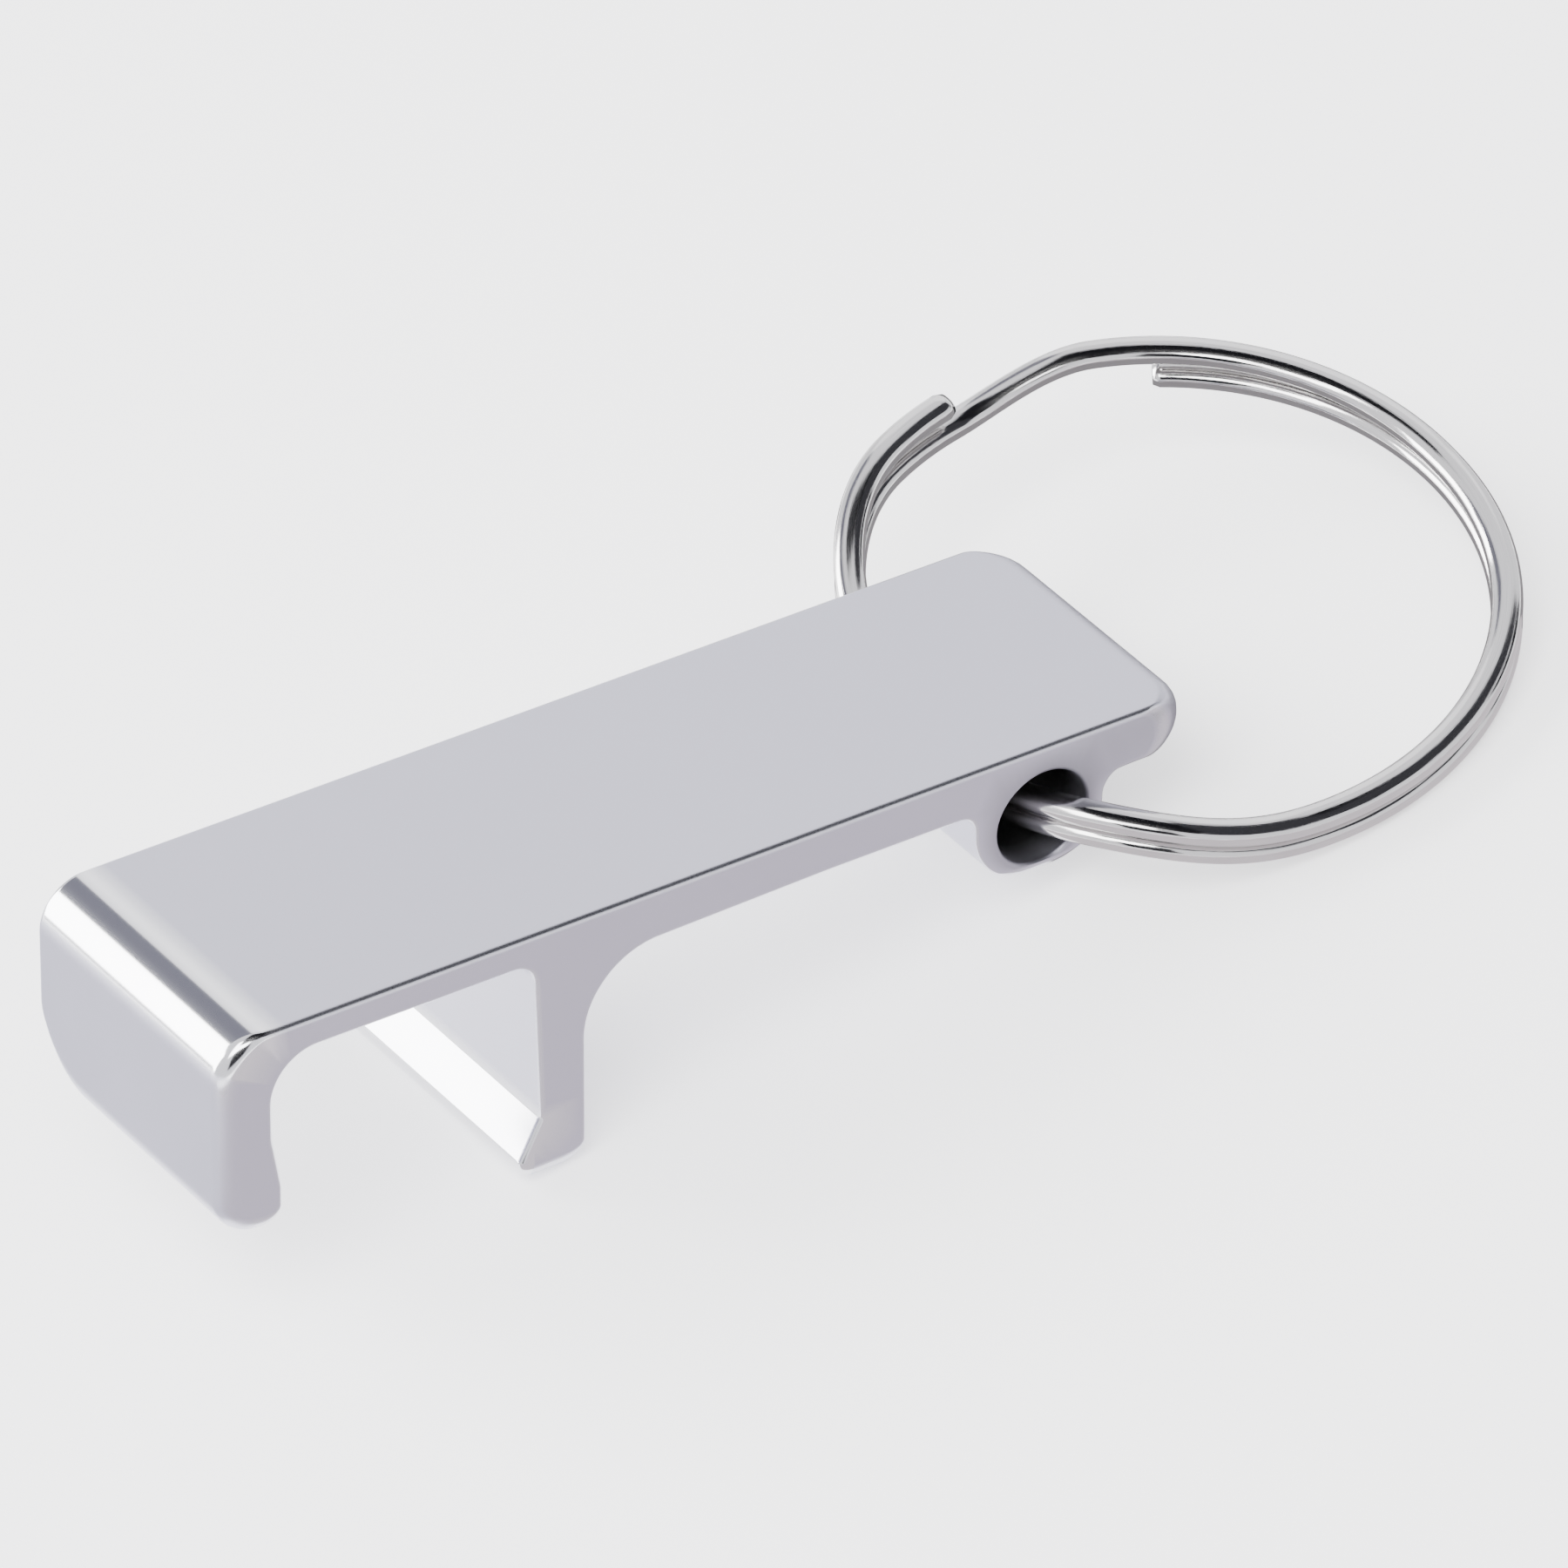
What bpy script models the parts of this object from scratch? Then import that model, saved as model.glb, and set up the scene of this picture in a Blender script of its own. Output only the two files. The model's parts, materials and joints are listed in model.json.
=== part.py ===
"""Keychain bottle opener: a one-piece aluminium opener bar and the steel split ring through its eye.

The bar is drawn lying level: X runs from the front lip to the rear end, Y across its width, and
Z = 0 is its flat top face. An empty then leans the whole object to the way it rests, on its
middle leg and on its ring. Lengths are metres.
"""

import math

import bmesh
import bpy
import numpy as np
from mathutils import Euler, Matrix, Vector

MM = 0.001

# Opener bar: a bent bar of one thickness of metal, seen from the side
BAR_LENGTH = 50.0 * MM
BAR_WIDTH = 15.0 * MM
WEB_THICKNESS = 1.55 * MM          # top plate between the lip and the leg
REAR_THICKNESS = 2.62 * MM         # top plate at the rear end and just behind the leg
WAIST_THICKNESS = 2.36 * MM        # top plate in front of the eye
FRONT_EDGE_RADIUS = 2.3 * MM       # polished bend from the top face down the front

# Front lip, which bears on the top of the cap
LIP_DEPTH = 10.15 * MM
LIP_NECK = 2.62 * MM
LIP_FOOT = 3.05 * MM

# Middle leg with its claw, which hooks under the rim of the cap
LEG_DEPTH = 12.75 * MM
LEG_FRONT = 15.85 * MM             # distance from the front of the bar
LEG_REAR = 18.45 * MM
CLAW_TOP = 9.65 * MM
CLAW_REACH = 1.0 * MM

# Eye for the ring: a cross hole in a boss under the plate
EYE_X = 42.00 * MM
EYE_DEPTH = 3.62 * MM              # hole centre below the top face
EYE_LONG = 2.36 * MM               # half of the hole's longer diameter
EYE_SHORT = 2.20 * MM
EYE_SLANT = math.radians(38)       # the longer diameter rises towards the rear
BOSS_FRONT = 38.55 * MM
BOSS_REAR = 45.20 * MM
BOSS_DEPTH = 6.34 * MM

# Lower corners, seen from the front: depth, front, rear, then the near and the far corner's
# run in along the width and up. The lip's far corner is rounded most.
FEET = {
    "lip": (LIP_DEPTH, 0.0, LIP_FOOT, (0.8 * MM, 0.8 * MM), (3.2 * MM, 5.2 * MM)),
    "leg": (LEG_DEPTH, LEG_FRONT - CLAW_REACH, LEG_REAR, (0.8 * MM, 0.8 * MM), (0.8 * MM, 0.8 * MM)),
    "boss": (BOSS_DEPTH, BOSS_FRONT, BOSS_REAR, (0.8 * MM, 0.8 * MM), (0.8 * MM, 0.8 * MM)),
}

# Corners of the plate, seen from above
REAR_CORNER_RADIUS = 2.1 * MM
FRONT_CORNER_RADIUS = 0.4 * MM

# Split ring: two turns of flattened wire
RING_OUTER_RADIUS = 15.7 * MM
WIRE_WIDTH = 1.40 * MM             # across the turn
WIRE_HEIGHT = 1.0 * MM             # along the ring's own axis
TURN_GAP = 0.04 * MM
LOWER_END = math.radians(57.5)     # where the lower turn starts, counted from the far side
UPPER_END = math.radians(95.5)     # where the upper turn stops
JOG_START = math.radians(95)       # the wire climbs from the lower to the upper turn here
JOG_END = math.radians(68)
TURN_SPREAD = 0.5 * MM             # the two turns stand apart this much on the far side

# The ring is a little sprung: its free part, outside the eye, leans and sits to one side
SPRING_LEAN = math.radians(6.8)
SPRING_SHIFT = Vector((-1.35 * MM, 1.3 * MM, 0.14 * MM))
SPRING_NEAR = (math.radians(32), math.radians(82))   # it grows over this, counted from the eye
SPRING_FAR = (math.radians(15), math.radians(70))

# How the object rests
REST_PITCH = math.radians(10.70)   # nose up, on the leg and the ring
RING_LIFT = math.radians(7.0)      # the ring rises this much towards the rear, from the bar
RING_ROCK = math.radians(3.0)      # and leans this much sideways in its hole

ARC_STEP = math.radians(15)
RING_STEP = math.radians(7.5)
ROOM = 1.0 * MM                    # how far a cutter runs past the metal that it cuts


def arc(centre, radius, start, end, step=ARC_STEP):
    """Points on a round arc between two angles, both ends included."""
    count = max(1, math.ceil(abs(end - start) / step - 1e-6))
    angles = [start + (end - start) * i / count for i in range(count + 1)]
    return [centre + Vector((math.cos(a), math.sin(a))) * radius for a in angles]


def rounded_outline(corners):
    """A closed outline from its corners (x, y, radius), each rounded by an arc of its radius."""
    points = []
    for i, (x, y, radius) in enumerate(corners):
        corner = Vector((x, y))
        before = (Vector(corners[i - 1][:2]) - corner).normalized()
        after = (Vector(corners[(i + 1) % len(corners)][:2]) - corner).normalized()
        half_angle = before.angle(after) / 2
        centre = corner + (before + after).normalized() * radius / math.sin(half_angle)
        first = corner + before * radius / math.tan(half_angle) - centre
        last = corner + after * radius / math.tan(half_angle) - centre
        start = math.atan2(first.y, first.x)
        turn = math.remainder(math.atan2(last.y, last.x) - start, math.tau)
        points += arc(centre, radius, start, start + turn)
    return points


def prism(name, outline, axis, low, high):
    """A closed solid: an outline carried straight along X, Y or Z from low to high."""
    places = {
        "X": lambda u, v, w: Vector((w, u, v)),
        "Y": lambda u, v, w: Vector((u, w, v)),
        "Z": lambda u, v, w: Vector((u, v, w)),
    }
    bm = bmesh.new()
    face = bm.faces.new([bm.verts.new(places[axis](u, v, low)) for u, v in outline])
    top = bmesh.ops.extrude_face_region(bm, geom=[face])["geom"]
    moved = [item for item in top if isinstance(item, bmesh.types.BMVert)]
    bmesh.ops.translate(bm, vec=places[axis](0, 0, high - low), verts=moved)
    bmesh.ops.recalc_face_normals(bm, faces=bm.faces)
    mesh = bpy.data.meshes.new(name)
    bm.to_mesh(mesh)
    bm.free()
    piece = bpy.data.objects.new(name, mesh)
    bpy.context.scene.collection.objects.link(piece)
    return piece


def hide_cutter(cutter, parent):
    """A cutter is drawn as wire only and rides with the piece that it cuts."""
    cutter.hide_render = True
    cutter.display_type = "WIRE"
    cutter.parent = parent


def cut(piece, cutter, operation="DIFFERENCE"):
    """A live Boolean between a piece and its cutter."""
    modifier = piece.modifiers.new(cutter.name, "BOOLEAN")
    modifier.operation = operation
    modifier.solver = "EXACT"
    modifier.object = cutter
    hide_cutter(cutter, piece)


def metal(name, colour, roughness):
    """A bare metal finish."""
    material = bpy.data.materials.new(name)
    material.use_nodes = True
    shader = material.node_tree.nodes["Principled BSDF"]
    shader.inputs["Base Color"].default_value = (*colour, 1.0)
    shader.inputs["Metallic"].default_value = 1.0
    shader.inputs["Roughness"].default_value = roughness
    return material


def satin_aluminium():
    return metal("satin_aluminium", (0.60, 0.60, 0.64), 0.32)


def bright_nickel():
    return metal("bright_nickel", (0.76, 0.75, 0.73), 0.08)


def bar_profile():
    """The bar seen from the side: lip, claw leg, eye boss and plate, with every bend rounded."""
    return rounded_outline([
        (0, 0, FRONT_EDGE_RADIUS),
        (0, -LIP_DEPTH, 1.9 * MM),
        (LIP_FOOT, -LIP_DEPTH, 1.0 * MM),
        (LIP_FOOT, -8.1 * MM, 1.5 * MM),
        (LIP_NECK, -5.6 * MM, 2.0 * MM),
        (LIP_NECK, -WEB_THICKNESS, 2.3 * MM),
        (LEG_FRONT, -WEB_THICKNESS, 1.1 * MM),
        (LEG_FRONT + 0.25 * MM, -CLAW_TOP, 0.3 * MM),
        (LEG_FRONT - CLAW_REACH + 0.15 * MM, -11.7 * MM, 0.4 * MM),
        (LEG_FRONT - CLAW_REACH + 0.15 * MM, -LEG_DEPTH, 0.85 * MM),
        (LEG_REAR, -LEG_DEPTH, 1.3 * MM),
        (LEG_REAR, -REAR_THICKNESS, 3.8 * MM),
        (31.0 * MM, -WAIST_THICKNESS, 20.0 * MM),
        (BOSS_FRONT, -WAIST_THICKNESS, 0.8 * MM),
        (BOSS_FRONT, -BOSS_DEPTH, 2.8 * MM),
        (BOSS_REAR, -BOSS_DEPTH, 2.7 * MM),
        (BOSS_REAR, -REAR_THICKNESS, 1.0 * MM),
        (BAR_LENGTH, -REAR_THICKNESS, 1.3 * MM),
        (BAR_LENGTH, 0, 1.25 * MM),
    ])


def plate_outline():
    """The bar seen from above: a rectangle with rounded corners."""
    half = BAR_WIDTH / 2
    return rounded_outline([
        (0, -half, FRONT_CORNER_RADIUS),
        (BAR_LENGTH, -half, REAR_CORNER_RADIUS),
        (BAR_LENGTH, half, REAR_CORNER_RADIUS),
        (0, half, FRONT_CORNER_RADIUS),
    ])


def eye_outline():
    """The hole for the ring, seen from the side: an oval that rises towards the rear."""
    count = 36
    points = []
    for i in range(count):
        angle = math.tau * i / count
        along = EYE_LONG * math.cos(angle)
        across = EYE_SHORT * math.sin(angle)
        x = EYE_X + along * math.cos(EYE_SLANT) - across * math.sin(EYE_SLANT)
        z = -EYE_DEPTH + along * math.sin(EYE_SLANT) + across * math.cos(EYE_SLANT)
        points.append(Vector((x, z)))
    return points


def foot_cutter(name, side, depth, corner, front, rear):
    """Takes off one lower corner of a lip, leg or boss, leaving it round seen from the front.

    The corner is a quarter of an oval: how far it runs in along the width, and how far up.
    """
    edge = side * BAR_WIDTH / 2
    along, up = corner
    quarter = arc(Vector((0, 0)), 1.0, -math.pi / 2, 0)
    curve = [Vector((edge - side * along * (1 - p.x), -depth + up * (1 + p.y))) for p in quarter]
    outer = [
        Vector((edge + side * ROOM, -depth + up)),
        Vector((edge + side * ROOM, -depth - ROOM)),
        Vector((edge - side * along, -depth - ROOM)),
    ]
    return prism(name, curve + outer, "X", front, rear)


def opener_body(parent):
    """The bar: one extruded profile with its eye drilled through and its corners rounded."""
    half = BAR_WIDTH / 2
    bar = prism("opener_body", bar_profile(), "Y", -half, half)
    bar.parent = parent
    bar.data.materials.append(satin_aluminium())
    plate = prism("plate_outline", plate_outline(), "Z", -LEG_DEPTH - ROOM, ROOM)
    cut(bar, plate, "INTERSECT")
    cut(bar, prism("eye_drill", eye_outline(), "Y", -half - ROOM, half + ROOM))
    for foot, (depth, front, rear, near, far) in FEET.items():
        cut(bar, foot_cutter(f"{foot}_near_corner", -1, depth, near, front - ROOM, rear + ROOM))
        cut(bar, foot_cutter(f"{foot}_far_corner", 1, depth, far, front - ROOM, rear + ROOM))
    return bar


def eye_crossing():
    """Distance from the ring's centre to the middle of its run through the eye.

    Inside the eye the ring takes the room from its outer edge at mid width to its inner edge
    at the mouths, and the swing axis goes through the middle of that.
    """
    inner_radius = RING_OUTER_RADIUS - WIRE_WIDTH
    mouth = math.sqrt(inner_radius**2 - (BAR_WIDTH / 2) ** 2)
    return (RING_OUTER_RADIUS + mouth) / 2


def smooth_step(value):
    value = min(max(value, 0.0), 1.0)
    return value * value * (3 - 2 * value)


def wire_path():
    """Centre line of the split ring as (angle, height).

    From its lower end the wire runs clockwise for most of a turn, climbs one wire height at the
    jog, and runs nearly a whole turn more above the first.
    """
    rise = WIRE_HEIGHT + TURN_GAP
    total = math.tau - (UPPER_END - LOWER_END) + math.tau
    count = round(total / RING_STEP)
    jog_start = math.tau - (JOG_START - LOWER_END)
    jog_end = math.tau - (JOG_END - LOWER_END)
    path = []
    for i in range(count + 1):
        run = total * i / count
        climbed = smooth_step((run - jog_start) / (jog_end - jog_start))
        spread = TURN_SPREAD * max(math.sin(LOWER_END - run), 0.0)
        path.append((LOWER_END - run, rise * (climbed - 0.5) + climbed * spread))
    return path


def wire_section():
    """Cross section of the flattened wire: an oblong with rounded corners, as (radial, axial)."""
    wide, high, radius = WIRE_WIDTH / 2, WIRE_HEIGHT / 2, 0.45 * MM
    points = []
    for quarter, (x, y) in enumerate(((1, 1), (-1, 1), (-1, -1), (1, -1))):
        centre = Vector((x * (wide - radius), y * (high - radius)))
        start = quarter * math.pi / 2
        points += arc(centre, radius, start, start + math.pi / 2, math.radians(45))
    return points


def sprung(point, angle):
    """Moves a point of the flat ring to its place on the sprung ring.

    The run through the eye stays flat; from there the lean and the shift grow smoothly.
    """
    from_eye = math.remainder(math.pi - angle, math.tau)
    start, end = SPRING_FAR if from_eye > 0 else SPRING_NEAR
    free = smooth_step((abs(from_eye) - start) / (end - start))
    return Matrix.Rotation(SPRING_LEAN * free, 3, "X") @ point + SPRING_SHIFT * free


def split_ring(parent):
    """The ring: the wire's section swept along its two turns, with flat cut ends."""
    radius = RING_OUTER_RADIUS - WIRE_WIDTH / 2
    reach = eye_crossing()
    bm = bmesh.new()
    rings = []
    for angle, height in wire_path():
        outward = Vector((math.cos(angle), math.sin(angle), 0))
        middle = Vector((reach, 0, height)) + outward * radius
        section = [middle + outward * u + Vector((0, 0, v)) for u, v in wire_section()]
        rings.append([bm.verts.new(sprung(point, angle)) for point in section])
    for first, second in zip(rings, rings[1:]):
        for i in range(len(first)):
            bm.faces.new((first[i - 1], first[i], second[i], second[i - 1]))
    bm.faces.new(rings[0])
    bm.faces.new(reversed(rings[-1]))
    bmesh.ops.recalc_face_normals(bm, faces=bm.faces)
    mesh = bpy.data.meshes.new("split_ring")
    bm.to_mesh(mesh)
    bm.free()
    ring = bpy.data.objects.new("split_ring", mesh)
    bpy.context.scene.collection.objects.link(ring)
    ring.data.materials.append(bright_nickel())
    ring.parent = parent
    ring.location = (EYE_X, 0, -EYE_DEPTH)
    ring.rotation_euler = Euler((RING_ROCK, -RING_LIFT, 0))
    ring.data.shade_smooth()
    ring.data.set_sharp_from_angle(angle=math.radians(40))
    return ring


def stand_on_origin(pose, pieces):
    """Moves the resting object so that the origin is under the middle of its box."""
    bpy.context.view_layer.update()
    graph = bpy.context.evaluated_depsgraph_get()
    corners = []
    for piece in pieces:
        evaluated = piece.evaluated_get(graph)
        world = evaluated.matrix_world
        corners += [tuple(world @ vertex.co) for vertex in evaluated.data.vertices]
    low, high = np.min(corners, axis=0), np.max(corners, axis=0)
    pose.location = (-(low[0] + high[0]) / 2, -(low[1] + high[1]) / 2, -low[2])


def build():
    for old in list(bpy.data.objects):
        bpy.data.objects.remove(old)
    pose = bpy.data.objects.new("rest_pose", None)
    bpy.context.scene.collection.objects.link(pose)
    pose.rotation_euler = (0, REST_PITCH, 0)
    bar = opener_body(pose)
    ring = split_ring(pose)
    stand_on_origin(pose, [bar, ring])


build()
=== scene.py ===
"""Looks of a keychain bottle opener: a satin aluminium bar and a bright split ring.

The bar and the ring are drawn in the bar's own frame, in millimetres: X runs from the front lip
to the rear end, Y across the width, and Z = 0 is the flat top face. to_row then turns them to
the way the object rests, with the middle of the eye on the hinge of the ring.
"""

import json
import math

import bmesh
import bpy
import numpy as np
from mathutils import Matrix, Vector


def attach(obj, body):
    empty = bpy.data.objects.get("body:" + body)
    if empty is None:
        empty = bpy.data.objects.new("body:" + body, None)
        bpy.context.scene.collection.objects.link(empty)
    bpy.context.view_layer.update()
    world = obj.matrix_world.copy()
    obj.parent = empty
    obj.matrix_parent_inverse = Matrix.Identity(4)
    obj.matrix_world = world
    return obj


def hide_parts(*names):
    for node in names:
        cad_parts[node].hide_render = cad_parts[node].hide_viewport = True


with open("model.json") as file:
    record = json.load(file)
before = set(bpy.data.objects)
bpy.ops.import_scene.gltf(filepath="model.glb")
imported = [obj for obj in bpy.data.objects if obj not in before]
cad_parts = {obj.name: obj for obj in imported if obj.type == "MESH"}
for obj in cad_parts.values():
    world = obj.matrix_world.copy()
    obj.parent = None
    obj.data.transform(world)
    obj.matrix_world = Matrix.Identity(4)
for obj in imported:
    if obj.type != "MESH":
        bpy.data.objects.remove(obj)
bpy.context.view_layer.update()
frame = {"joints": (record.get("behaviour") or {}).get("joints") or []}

MM = 0.001

# The bar, as in the CAD
BAR_LENGTH = 50.0
HALF_WIDTH = 7.5
WEB = 1.55
REAR = 2.62
WAIST = 2.36
LIP_DEPTH = 10.15
LIP_NECK = 2.62
LIP_FOOT = 3.05
LEG_DEPTH = 12.75
LEG_FRONT = 15.85
LEG_REAR = 18.45
CLAW_TOP = 9.65
CLAW_TIP = LEG_FRONT - 0.85
FRONT_BEND = 2.3
BOSS_FRONT = 38.55
BOSS_REAR = 45.20
BOSS_DEPTH = 6.34
REAR_CORNER = 2.1
EYE = np.array([42.00, 0.0, -3.62])
EYE_LONG = 2.36
EYE_SHORT = 2.20
EYE_SLANT = math.radians(38)
EYE_RIM = 0.20

# Edge breaks of the bar
EDGE = 0.30
FRONT_EDGE_NEAR = 0.90
FRONT_EDGE_FAR = 0.40
BOSS_EDGE = 0.15
LAND = 0.05

# The split ring, as in the CAD
RING_RADIUS = 15.7
CAD_WIRE_WIDTH = 1.40
WIRE_WIDTH = 1.42
WIRE_HEIGHT = 1.02
WIRE_RISE = 1.04
LOWER_END = math.radians(57.5)
UPPER_END = math.radians(95.5)
JOG_START = math.radians(95)
JOG_END = math.radians(68)
TURN_SPREAD = 0.5
SPRING_LEAN = math.radians(6.8)
SPRING_SHIFT = np.array([-1.35, 1.3, 0.14])
SPRING_NEAR = (math.radians(32), math.radians(82))
SPRING_FAR = (math.radians(15), math.radians(70))
RING_LIFT = math.radians(7.0)
RING_ROCK = math.radians(3.0)

# The wire's section is a superellipse of this power; its cut ends draw in over their break
WIRE_POWER = 2.2
END_BREAK = 0.16
END_DRAW = 0.20

REST_PITCH = math.radians(10.70)

# How finely the surfaces are drawn
OUTLINE_STEP = 0.22
EYE_POINTS = 120
RING_SECTIONS = 540
WIRE_POINTS = 40

# The camera in the bar's frame: where it stands, which way it looks, its lens and film width
CAMERA_PLACE = np.array([-336.73, -562.02, 449.01])
CAMERA_SIGHT = np.array([0.4567, 0.6933, -0.5575])
CAMERA_LENS = 428.3
CAMERA_FILM = 36

hinge = np.array(frame["joints"][0]["pos_m"])


# ---------------------------------------------------------------- placing and mesh making

def turn(axis, angle):
    """A 3 by 3 turn matrix about X, Y or Z."""
    return np.array(Matrix.Rotation(angle, 3, axis))


POSE = turn("Y", REST_PITCH)


def to_row(points):
    """Bar frame in mm to the row frame in metres: turned nose up, eye centre on the hinge."""
    return (points - EYE) @ POSE.T * MM + hinge


def smooth(value):
    """0 up to 1 with level ends: 3t squared less 2t cubed."""
    t = np.clip(value, 0, 1)
    return t * t * (3 - 2 * t)


def looped_rows(rows, columns, first=0):
    """Vertex numbers of a grid, counted from first, whose last row joins its first."""
    number = first + np.arange(rows * columns).reshape(rows, columns)
    return np.vstack([number, number[:1]])


def cells(number):
    """The four vertex numbers of each cell in a grid of vertex numbers."""
    a, b = number[:-1, :-1], number[:-1, 1:]
    c, d = number[1:, 1:], number[1:, :-1]
    return np.stack([a, b, c, d], -1).reshape(-1, 4)


def new_piece(name, points, faces, body, node):
    """A smooth mesh from whole arrays of points and faces, in the place of a CAD node."""
    mesh = bpy.data.meshes.new(name)
    mesh.from_pydata(points.tolist(), [], faces)
    mesh.shade_smooth()
    piece = bpy.data.objects.new(name, mesh)
    bpy.context.scene.collection.objects.link(piece)
    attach(piece, body)
    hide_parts(node)
    return piece


def add_attribute(piece, name, values):
    """One number for each vertex, which the finishes read."""
    layer = piece.data.attributes.new(name, "FLOAT", "POINT")
    layer.data.foreach_set("value", np.asarray(values, np.float32))


def close_sides(piece, reach):
    """Fills the flat opening past that reach on each side, with the eye kept open."""
    bm = bmesh.new()
    bm.from_mesh(piece.data)
    for side in (-1, 1):
        rim = [e for e in bm.edges if e.is_boundary and e.verts[0].co.y * side > reach]
        bmesh.ops.triangle_fill(bm, edges=rim, use_beauty=True)
    bm.to_mesh(piece.data)
    bm.free()


def face_outward(piece):
    """Turns every face outwards and shades it smooth."""
    bm = bmesh.new()
    bm.from_mesh(piece.data)
    bmesh.ops.recalc_face_normals(bm, faces=bm.faces)
    for face in bm.faces:
        face.smooth = True
    bm.to_mesh(piece.data)
    bm.free()


def set_down(piece):
    """Moves a piece that was drawn in the bar's frame to where it rests."""
    co = np.zeros(len(piece.data.vertices) * 3)
    piece.data.vertices.foreach_get("co", co)
    piece.data.vertices.foreach_set("co", to_row(co.reshape(-1, 3)).ravel())
    piece.data.update()


# ---------------------------------------------------------------- the bar

def straight(first, last, spacing):
    """The inner points of a straight, about two and a half spacings apart."""
    gap = np.linalg.norm(last - first)
    steps = np.linspace(0, 1, max(2, math.ceil(gap / (2.5 * spacing))))[1:-1, None]
    return first * (1 - steps) + last * steps


def outline(corners, spacing):
    """A closed outline through corners (x, z, radius): arcs at the corners, straights between.

    Each arc is centre + radius times (cos a, sin a) for a between its two tangent points.
    """
    stretches = []
    for i, (x, z, radius) in enumerate(corners):
        corner = Vector((x, z))
        before = (Vector(corners[i - 1][:2]) - corner).normalized()
        after = (Vector(corners[(i + 1) % len(corners)][:2]) - corner).normalized()
        half = before.angle(after) / 2
        centre = corner + (before + after).normalized() * radius / math.sin(half)
        first = corner + before * radius / math.tan(half) - centre
        last = corner + after * radius / math.tan(half) - centre
        start = math.atan2(first.y, first.x)
        sweep = math.remainder(math.atan2(last.y, last.x) - start, math.tau)
        count = max(6, math.ceil(abs(sweep) * radius / spacing), math.ceil(abs(sweep) / 0.12))
        angles = start + sweep * np.linspace(0, 1, count + 1)
        arc = np.array(centre) + radius * np.stack([np.cos(angles), np.sin(angles)], -1)
        if stretches:
            stretches.append(straight(stretches[-1][-1], arc[0], spacing))
        stretches.append(arc)
    stretches.append(straight(stretches[-1][-1], stretches[0][0], spacing))
    points = np.vstack(stretches)
    length = np.linalg.norm(points - np.roll(points, 1, 0), axis=1)
    return points[length > 1e-4]


def outward(points):
    """Unit normals of a closed outline, from the chord between each point's neighbours."""
    before = points - np.roll(points, 1, 0)
    after = np.roll(points, -1, 0) - points
    before /= np.linalg.norm(before, axis=1)[:, None]
    after /= np.linalg.norm(after, axis=1)[:, None]
    along = before + after
    along /= np.linalg.norm(along, axis=1)[:, None]
    x, z = points.T
    area = np.sum(x * np.roll(z, -1) - z * np.roll(x, -1))
    return np.stack([along[:, 1], -along[:, 0]], -1) * np.sign(area)


def bar_corners():
    """The bar seen from the side, as (x, z, corner radius)."""
    return [
        (0, 0, FRONT_BEND),
        (0, -LIP_DEPTH, 1.9),
        (LIP_FOOT, -LIP_DEPTH, 1.0),
        (LIP_FOOT, -8.1, 1.5),
        (LIP_NECK, -5.6, 2.0),
        (LIP_NECK, -WEB, 2.3),
        (LEG_FRONT, -WEB, 1.1),
        (LEG_FRONT + 0.25, -CLAW_TOP, 0.3),
        (CLAW_TIP, -11.7, 0.45),
        (CLAW_TIP, -LEG_DEPTH, 0.85),
        (LEG_REAR, -LEG_DEPTH, 1.3),
        (LEG_REAR, -REAR, 3.8),
        (31.0, -WAIST, 20.0),
        (BOSS_FRONT, -WAIST, 0.8),
        (BOSS_FRONT, -BOSS_DEPTH, 2.8),
        (BOSS_REAR, -BOSS_DEPTH, 2.7),
        (BOSS_REAR, -REAR, 1.0),
        (BAR_LENGTH, -REAR, 1.3),
        (BAR_LENGTH, 0, 1.25),
    ]


def across_rows(edge_count=8, body_count=16):
    """Rows across the bar as (side, share of the flat width, angle of the edge break, land).

    From the middle outwards the rows close up, run round the edge break and end on a narrow
    flat land, so that the flat side keeps its own normal.
    """
    share = 1 - (1 - np.linspace(0, 1, body_count)) ** 2
    angle = np.linspace(0, math.pi / 2, edge_count + 1)[1:]
    half = [(s, 0.0, 0.0) for s in share]
    half += [(1.0, a, 0.0) for a in angle]
    half += [(1.0, math.pi / 2, 1.0)]
    half = np.array(half)
    near = np.column_stack([-np.ones(len(half)), half])[::-1][:-1]
    far = np.column_stack([np.ones(len(half)), half])
    return np.vstack([near, far])


def corner_drop(y, width, height):
    """How far a quarter oval has fallen back at y: height less height times root(1 - t squared)."""
    t = np.clip((np.abs(y) - (HALF_WIDTH - width)) / width, 0, 0.995)
    return height * (1 - np.sqrt(1 - t * t))


def shape_corners(points):
    """Moves the straight bar's points so that its rear corners and its feet are rounded.

    The rear end moves forwards, and a foot's bottom moves up, by a quarter oval in y. The move
    fades out along the bar, or up the foot.
    """
    x, y, z = points[..., 0], points[..., 1], points[..., 2]
    moved = points.copy()
    fade = smooth((x - (BOSS_REAR + 0.3)) / (BAR_LENGTH - BOSS_REAR - 0.3))
    moved[..., 0] -= fade * corner_drop(y, REAR_CORNER, REAR_CORNER)
    feet = [
        (-1, 8, LIP_DEPTH, (0.8, 0.8), (3.2, 5.2)),
        (10, 22, LEG_DEPTH, (0.8, 0.8), (0.8, 0.8)),
        (36, 47, BOSS_DEPTH, (0.4, 0.4), (0.4, 0.4)),
    ]
    for front, rear, depth, near, far in feet:
        inside = (x > front) & (x < rear)
        for side, (width, height) in ((-1, near), (1, far)):
            reach = 1.5 * height
            weight = np.clip((reach - depth - z) / reach, 0, 1)
            rise = weight * corner_drop(y, width, height)
            moved[..., 2] += np.where(inside & (y * side > 0), rise, 0)
    return moved


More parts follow.
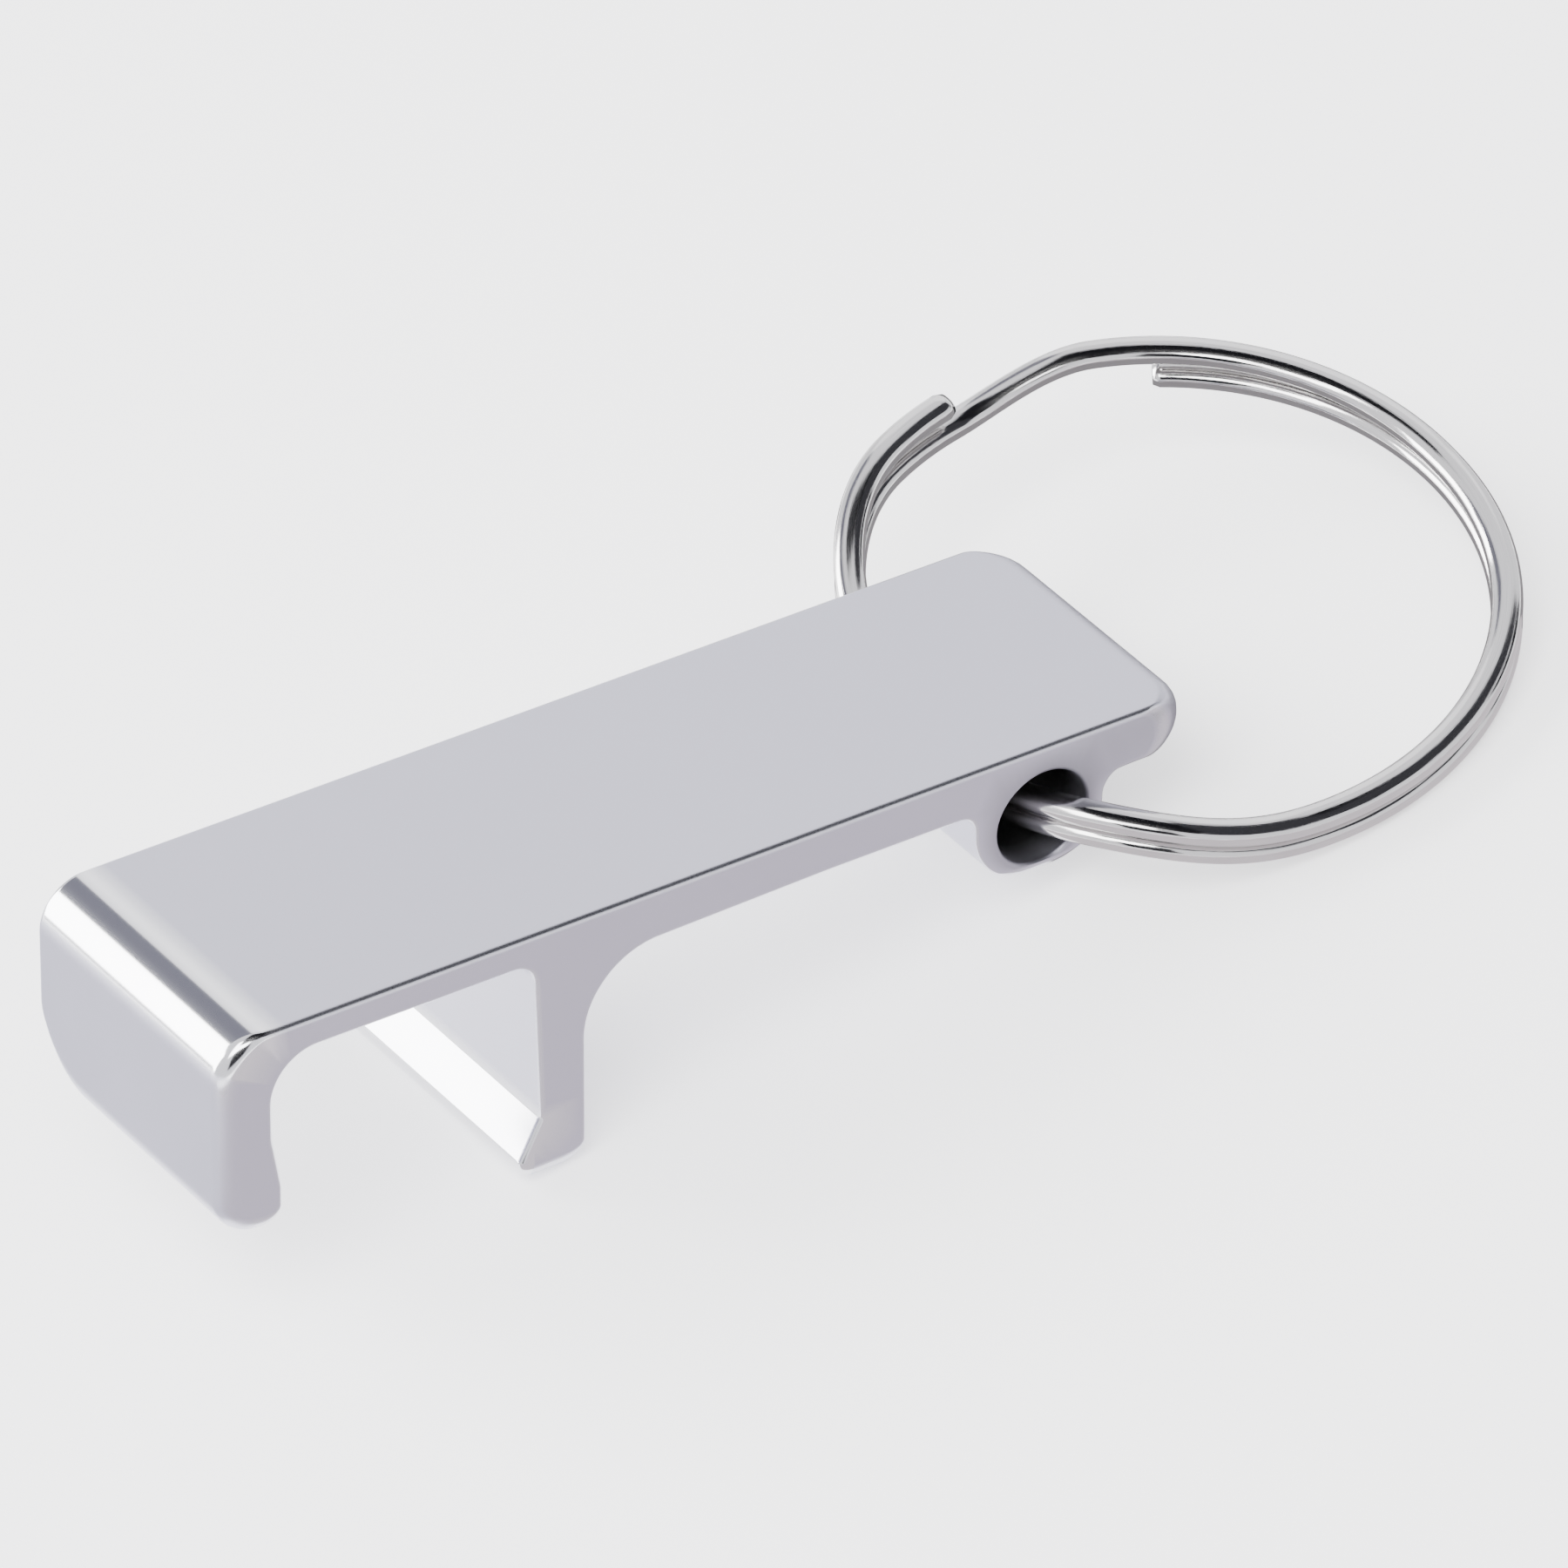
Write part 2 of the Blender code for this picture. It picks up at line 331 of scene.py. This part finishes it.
def edge_break(points, front_edge):
    """Radius of the edge break at each outline point: softer at the front, finer at the eye."""
    x, z = points[:, 0], points[:, 1]
    front = 1 - smooth((x - 0.3) / 2.5)
    eye = smooth((x - 36.5) / 1.5) * (1 - smooth((x - 46) / 1.5)) * smooth((-z - 2.2) / 1.0)
    return EDGE + (front_edge - EDGE) * front + (BOSS_EDGE - EDGE) * eye


def bar_surface(line, normal, rows):
    """The outline carried across the width, drawn in along its normal round each edge break."""
    side, share, angle, land = rows.T
    near = edge_break(line, FRONT_EDGE_NEAR)[:, None]
    far = edge_break(line, FRONT_EDGE_FAR)[:, None]
    radius = np.where(side < 0, near, far)
    inset = radius * (1 - np.cos(angle)) + LAND * land
    y = side * (share * (HALF_WIDTH - radius) + radius * np.sin(angle))
    x = line[:, :1] - normal[:, :1] * inset
    z = line[:, 1:] - normal[:, 1:] * inset
    return shape_corners(np.stack([x, y, z], -1))


def eye_surface(rows):
    """The bore: the oval (long cos a, short sin a) turned by the slant, opening at both rims."""
    side, share, angle, land = rows.T
    a = np.linspace(0, math.tau, EYE_POINTS, endpoint=False)
    grow = EYE_RIM * (1 - np.cos(angle)) + LAND * land
    along = (EYE_LONG + grow) * np.cos(a)[:, None]
    over = (EYE_SHORT + grow) * np.sin(a)[:, None]
    y = side * (share * (HALF_WIDTH - EYE_RIM) + EYE_RIM * np.sin(angle))
    return shape_corners(np.stack([
        EYE[0] + along * math.cos(EYE_SLANT) - over * math.sin(EYE_SLANT),
        np.broadcast_to(y, along.shape),
        EYE[2] + along * math.sin(EYE_SLANT) + over * math.cos(EYE_SLANT),
    ], -1))


def finish_marks(line, normal, rows):
    """How much each point has painted highlight, is polished or is on a broken edge, from 0 to 1.

    The painted highlight strip behind the bend is painted light that stands in for a reflection.
    The bend and the claw's slope are polished.
    """
    x, z = line.T
    angle, land = rows[:, 2], rows[:, 3]
    # Painted highlight: a paler strip just behind the bend, painted to stand in for a reflection
    # there.
    painted_highlight_strip = smooth((x - 2.0) / 0.2) * smooth((3.1 - x) / 0.5) * (z > -0.5)
    bend = smooth((FRONT_BEND + 0.7 - x) / 0.5) * smooth((1.75 + z) / 0.25)
    slope = np.clip(normal[:, 0] * -0.9 - normal[:, 1] * 0.45, 0, 1)
    claw = smooth((x - 13.5) / 0.5) * smooth((16.6 - x) / 0.3)
    claw *= smooth((-z - CLAW_TOP + 0.25) / 0.2) * smooth((slope + normal[:, 1] * 0.6) / 0.2)
    polished = np.clip(bend + claw * 0.9, 0, 1)
    breaks = np.sin(np.clip(angle, 0, math.pi / 2) * 2) ** 2 * (land < 0.5)
    lip_front = smooth((2.0 - x) / 1.0) * smooth((-z - 2.0) / 1.5)
    across = np.ones(len(rows))
    return {
        "painted_highlight_strip": painted_highlight_strip[:, None] * across,
        "polished": polished[:, None] * across,
        "edge": breaks * (1 - lip_front)[:, None],
    }


def opener_body():
    """The bar: its outline carried across the width, edges broken, with the eye's bore through."""
    line = outline(bar_corners(), OUTLINE_STEP)
    normal = outward(line)
    rows = across_rows()
    belt = bar_surface(line, normal, rows)
    bore = eye_surface(rows)
    belt_size = len(line) * len(rows)
    faces = np.vstack([
        cells(looped_rows(len(line), len(rows))),
        cells(looped_rows(EYE_POINTS, len(rows), belt_size))[:, ::-1],
    ])
    points = np.vstack([belt.reshape(-1, 3), bore.reshape(-1, 3)])
    piece = new_piece(
        "opener_bar", points, faces.tolist(), "bar", "opener_body")
    close_sides(piece, HALF_WIDTH - 1e-3)
    face_outward(piece)

    for name, values in finish_marks(line, normal, rows).items():
        in_bore = np.zeros(EYE_POINTS * len(rows))
        add_attribute(piece, name, np.concatenate([values.ravel(), in_bore]))
    # Painted shade: the bore's colour is darkened, most towards the middle of its depth, for the
    # shade inside the eye.
    inwards = 1 - np.abs(rows[:, 1])
    shade = np.broadcast_to(0.35 + 0.65 * smooth(inwards * 4), (EYE_POINTS, len(rows)))
    add_attribute(piece, "bore", np.concatenate([np.zeros(belt_size), shade.ravel()]))
    set_down(piece)
    return piece


# ---------------------------------------------------------------- the split ring

def eye_crossing():
    """Distance from the ring's centre to the middle of its run through the eye."""
    inner = RING_RADIUS - CAD_WIRE_WIDTH
    return (RING_RADIUS + math.sqrt(inner**2 - HALF_WIDTH**2)) / 2


def split_ring():
    """The ring: an oblong wire section, a superellipse, swept along two turns with a jog.

    The turns are a circle; the free part outside the eye is turned about X by the lean and moved
    by the shift, both growing smoothly from the eye.
    """
    total = 2 * math.tau - (UPPER_END - LOWER_END)
    run = total * np.linspace(0, 1, RING_SECTIONS)
    jog_start = math.tau - (JOG_START - LOWER_END)
    jog_end = math.tau - (JOG_END - LOWER_END)
    climbed = smooth((run - jog_start) / (jog_end - jog_start))
    angle = LOWER_END - run
    spread = TURN_SPREAD * np.maximum(np.sin(angle), 0)
    height = WIRE_RISE * (climbed - 0.5) + climbed * spread

    # The last few sections at each end draw in, so the cut ends have a small broken edge
    radius = RING_RADIUS - WIRE_WIDTH / 2
    arc_length = run * radius
    t = np.clip(np.minimum(arc_length, arc_length[-1] - arc_length) / END_BREAK, 0, 1)
    shrink = 1 - END_DRAW * (1 - np.sqrt(1 - (1 - t) ** 2))

    a = np.linspace(0, math.tau, WIRE_POINTS, endpoint=False)
    power = 2 / WIRE_POWER
    u = np.sign(np.cos(a)) * np.abs(np.cos(a)) ** power * WIRE_WIDTH / 2
    v = np.sign(np.sin(a)) * np.abs(np.sin(a)) ** power * WIRE_HEIGHT / 2
    reach = radius + shrink[:, None] * u
    points = np.stack([
        eye_crossing() + reach * np.cos(angle)[:, None],
        reach * np.sin(angle)[:, None],
        height[:, None] + shrink[:, None] * v,
    ], -1)

    from_eye = np.arctan2(np.sin(math.pi - angle), np.cos(math.pi - angle))
    near_free = smooth((-from_eye - SPRING_NEAR[0]) / (SPRING_NEAR[1] - SPRING_NEAR[0]))
    far_free = smooth((from_eye - SPRING_FAR[0]) / (SPRING_FAR[1] - SPRING_FAR[0]))
    free = np.where(from_eye > 0, far_free, near_free)
    lean = SPRING_LEAN * free[:, None]
    y, z = points[..., 1].copy(), points[..., 2].copy()
    points[..., 1] = y * np.cos(lean) - z * np.sin(lean)
    points[..., 2] = y * np.sin(lean) + z * np.cos(lean)
    points += SPRING_SHIFT * free[:, None, None]
    tilt = turn("Y", -RING_LIFT) @ turn("X", RING_ROCK)
    points = points @ tilt.T + EYE

    grid = (RING_SECTIONS, WIRE_POINTS)
    number = np.arange(RING_SECTIONS * WIRE_POINTS).reshape(grid)
    faces = cells(np.hstack([number, number[:, :1]])).tolist()
    faces += [number[0].tolist(), number[-1, ::-1].tolist()]
    piece = new_piece(
        "split_ring_wire", to_row(points.reshape(-1, 3)), faces,
        "ring", "split_ring")
    face_outward(piece)
    add_attribute(piece, "along", np.broadcast_to(arc_length[:, None], grid).ravel())
    add_attribute(piece, "round", np.broadcast_to(np.cos(a), grid).ravel())
    return piece


# ---------------------------------------------------------------- finishes

class Value:
    """A shader socket that does arithmetic: each operator adds its Math node."""

    def __init__(self, tree, socket):
        self.tree = tree
        self.socket = socket

    def feed(self, slot, value):
        """Links a value to a socket, or sets the socket to a plain number or colour."""
        if isinstance(value, Value):
            self.tree.links.new(value.socket, slot)
        else:
            slot.default_value = value

    def node(self, kind, settings=None, **sockets):
        """Any other node: its settings first, then values or links of its sockets by name."""
        new = self.tree.nodes.new(kind)
        for key, value in (settings or {}).items():
            setattr(new, key, value)
        for key, value in sockets.items():
            self.feed(new.inputs[key], value)
        return new

    def math(self, operation, *values):
        """A Math node of that operation on the values."""
        new = self.tree.nodes.new("ShaderNodeMath")
        new.operation = operation
        for slot, value in zip(new.inputs, values):
            self.feed(slot, value)
        return Value(self.tree, new.outputs[0])

    def __add__(self, other):
        return self.math("ADD", self, other)

    def __sub__(self, other):
        return self.math("SUBTRACT", self, other)

    def __rsub__(self, other):
        return self.math("SUBTRACT", other, self)

    def __mul__(self, other):
        return self.math("MULTIPLY", self, other)

    __radd__ = __add__
    __rmul__ = __mul__


def new_finish(name):
    """A material, its tree, its shader, and the place on the piece as a value."""
    material = bpy.data.materials.new(name)
    material.use_nodes = True
    tree = material.node_tree
    shader = tree.nodes["Principled BSDF"]
    coordinates = tree.nodes.new("ShaderNodeTexCoord")
    return material, tree, shader, Value(tree, coordinates.outputs["Object"])


def named_value(place, name):
    """The piece's own number of that name."""
    attribute = place.node("ShaderNodeAttribute", {"attribute_name": name})
    return Value(place.tree, attribute.outputs["Fac"])


def blended(place, low, high, amount):
    """A colour between two, by amount."""
    mix = place.node("ShaderNodeMix", {"data_type": "RGBA"}, Factor=amount)
    first, second, result = mix.inputs[6], mix.inputs[7], mix.outputs[2]
    place.feed(first, low)
    place.feed(second, high)
    return Value(place.tree, result)


def noise(place, scale, detail, roughness=0.5):
    """Noise on a place, between 0 and 1."""
    new = place.node(
        "ShaderNodeTexNoise", Vector=place, Scale=scale, Detail=detail, Roughness=roughness)
    return Value(place.tree, new.outputs["Fac"])


def satin_aluminium():
    """Fine blasted and anodised aluminium, bright where its front bend and claw were polished."""
    material, tree, shader, place = new_finish("satin_aluminium")
    polished = named_value(place, "polished")
    edge = named_value(place, "edge")
    bore = named_value(place, "bore")
    cloud = noise(place, 160, 3.0)
    grain = noise(place, 9000, 2.0, 0.6)
    shine = polished.math("MAXIMUM", polished, edge * 0.55)

    base = blended(place, (0.585, 0.581, 0.668, 1), (0.625, 0.621, 0.708, 1), cloud)
    bright = blended(place, base, (0.80, 0.80, 0.82, 1), shine)
    # Painted highlight: the strip behind the bend is painted almost white, standing in for a
    # reflection.
    bright = blended(place, bright, (0.97, 0.97, 0.99, 1), named_value(place, "painted_highlight_strip"))
    # Painted shade: the bore is painted near black, most deep inside, for the shade inside the eye.
    colour = blended(place, bright, (0.10, 0.10, 0.10, 1), bore)
    tree.links.new(colour.socket, shader.inputs["Base Color"])
    rough = 0.36 + (cloud - 0.5) * 0.05 + (grain - 0.5) * 0.06
    rough = rough * (1 - shine * 0.62) + bore * 0.2
    tree.links.new(rough.socket, shader.inputs["Roughness"])
    shader.inputs["Metallic"].default_value = 1.0
    bump = place.node(
        "ShaderNodeBump", Height=grain * (1 - shine), Strength=0.05, Distance=0.00002)
    tree.links.new(bump.outputs[0], shader.inputs["Normal"])
    return material


def bright_nickel():
    """Nickel plated spring wire: mirror bright, with faint drawing lines along the wire."""
    material, tree, shader, place = new_finish("bright_nickel")
    along = named_value(place, "along")
    about = named_value(place, "round")
    lines = place.node("ShaderNodeCombineXYZ", X=along * 0.15, Y=about * 9.0)
    lines = Value(tree, lines.outputs[0])
    streak = place.node("ShaderNodeTexNoise", Vector=lines, Scale=2.0, Detail=3.0)
    streak = Value(tree, streak.outputs["Fac"])
    colour = blended(place, (0.60, 0.59, 0.585, 1), (0.80, 0.79, 0.78, 1), streak)
    tree.links.new(colour.socket, shader.inputs["Base Color"])
    rough = 0.06 + streak * 0.09
    tree.links.new(rough.socket, shader.inputs["Roughness"])
    shader.inputs["Metallic"].default_value = 1.0
    bump = place.node("ShaderNodeBump", Height=streak, Strength=0.12, Distance=0.00003)
    tree.links.new(bump.outputs[0], shader.inputs["Normal"])
    return material


# ---------------------------------------------------------------- floor, light and camera

FLOOR_REACH = 3.0

# Softboxes: direction from the object, distance, size and power
SOFTBOXES = [
    ("key", (-0.45, -0.35, 1.0), 0.9, (0.6, 0.6), 11),
    ("back_left", (-0.62, 0.70, 0.42), 0.9, (0.8, 0.62), 20),
]

# Cards that only reflections see: how each kind glows; direction, distance, size and kind
CARD_GLOWS = {
    "grey_card": (0.26, 0.26, 0.33),
    "edge_card": (0.06, 0.06, 0.07),
    "dark_card": (0.012, 0.012, 0.016),
    "pale_card": (2.10, 2.10, 2.18),
}
CARDS = [
    ("back_pale", (0.55, 0.69, 0.465), 0.6, (0.42, 0.32), "pale_card"),
    ("bend_line", (-0.04, 0.70, 0.715), 0.48, (0.30, 0.13), "grey_card"),
    ("over", (0.16, -0.16, 0.97), 0.5, (0.56, 0.46), "dark_card"),
    ("edge_line", (0.62, -0.30, 0.73), 0.5, (0.62, 0.30), "edge_card"),
    ("low_right", (1.0, -0.10, 0.30), 0.6, (0.24, 0.16), "dark_card"),
    ("front_left", (-0.50, -0.70, 0.50), 0.6, (0.34, 0.34), "dark_card"),
]

# Cards just above the floor, for what the metal mirrors: middle, size, and shade with its glow
FLOOR_CARDS = [
    ("near_floor", (0.01, -0.0790, 0.0002), (0.17, 0.14), "floor_shade", (1.14, 1.05, 1.14)),
    ("left_floor", (-0.098, 0.06, 0.0003), (0.12, 0.14), "floor_side_shade", (1.52, 1.50, 1.64)),
    ("ring_floor", (0.045, 0.012, 0.0001), (0.075, 0.09), "floor_ring_shade", (0.42, 0.40, 0.43)),
]

def plain(name, colour, glow):
    """A matt colour for the floor and cards, with a glow of its own."""
    material = bpy.data.materials.new(name)
    material.use_nodes = True
    shader = material.node_tree.nodes["Principled BSDF"]
    shader.inputs["Base Color"].default_value = (*colour, 1)
    shader.inputs["Roughness"].default_value = 0.9
    shader.inputs["Specular IOR Level"].default_value = 0.0
    shader.inputs["Emission Color"].default_value = (*glow, 1)
    shader.inputs["Emission Strength"].default_value = 1.0
    return material


def panel(name, size, material):
    """A flat rectangle about the origin."""
    mesh = bpy.data.meshes.new(name)
    w, h = size[0] / 2, size[1] / 2
    mesh.from_pydata([(-w, -h, 0), (w, -h, 0), (w, h, 0), (-w, h, 0)], [], [(0, 1, 2, 3)])
    mesh.materials.append(material)
    piece = bpy.data.objects.new(name, mesh)
    bpy.context.scene.collection.objects.link(piece)
    return piece


def towards(direction, distance):
    """The place at a distance in a direction, turned to look at the object."""
    aim = Vector(direction).normalized()
    facing = aim.to_track_quat("Z", "Y").to_matrix().to_4x4()
    return Matrix.Translation(aim * distance) @ facing


def card(name, direction, distance, size, material):
    """A panel that faces the object from a direction, seen in reflections only."""
    piece = panel(name, size, material)
    piece.matrix_world = towards(direction, distance)
    piece.visible_camera = False
    piece.visible_diffuse = False
    piece.visible_shadow = False
    return piece


def softbox(name, direction, distance, size, power):
    """A rectangular area light that looks at the object."""
    light = bpy.data.lights.new(name, "AREA")
    light.shape = "RECTANGLE"
    light.size, light.size_y = size
    light.energy = power
    lamp = bpy.data.objects.new(name, light)
    bpy.context.scene.collection.objects.link(lamp)
    lamp.matrix_world = towards(direction, distance)
    return lamp


def studio():
    """A pale floor, white surroundings and softboxes; the cards draw the lines in the metal."""
    white = plain("floor_white", (0.93, 0.93, 0.93), (1.0, 1.0, 1.0))
    panel("floor", (2 * FLOOR_REACH, 2 * FLOOR_REACH), white)

    world = bpy.data.worlds.new("studio")
    bpy.context.scene.world = world
    world.use_nodes = True
    background = world.node_tree.nodes["Background"]
    background.inputs["Color"].default_value = (0.95, 0.95, 1.0, 1)
    background.inputs["Strength"].default_value = 1.5

    for name, direction, distance, size, power in SOFTBOXES:
        softbox(name, direction, distance, size, power)

    black = (0.0, 0.0, 0.0)
    kinds = {name: plain(name, black, glow) for name, glow in CARD_GLOWS.items()}
    for name, direction, distance, size, kind in CARDS:
        card(name, direction, distance, size, kinds[kind])
    for name, middle, size, shade, glow in FLOOR_CARDS:
        lying = card(name, (0, 0, 1), middle[2], size, plain(shade, black, glow))
        lying.location = middle


def camera():
    """A long lens from above the front corner, level with the bar's own top face."""
    data = bpy.data.cameras.new("camera")
    data.lens = CAMERA_LENS
    data.sensor_width = CAMERA_FILM
    data.clip_end = 10
    lens = bpy.data.objects.new("camera", data)
    bpy.context.scene.collection.objects.link(lens)
    forward = Vector(POSE @ CAMERA_SIGHT).normalized()
    right = forward.cross(Vector(POSE @ np.array([0.0, 0.0, 1.0]))).normalized()
    up = right.cross(forward)
    lens.matrix_world = Matrix.Translation(Vector(to_row(CAMERA_PLACE))) @ Matrix((
        (right.x, up.x, -forward.x), (right.y, up.y, -forward.y), (right.z, up.z, -forward.z),
    )).to_4x4()
    bpy.context.scene.camera = lens


bar = opener_body()
bar.data.materials.append(satin_aluminium())
ring = split_ring()
ring.data.materials.append(bright_nickel())
studio()
camera()
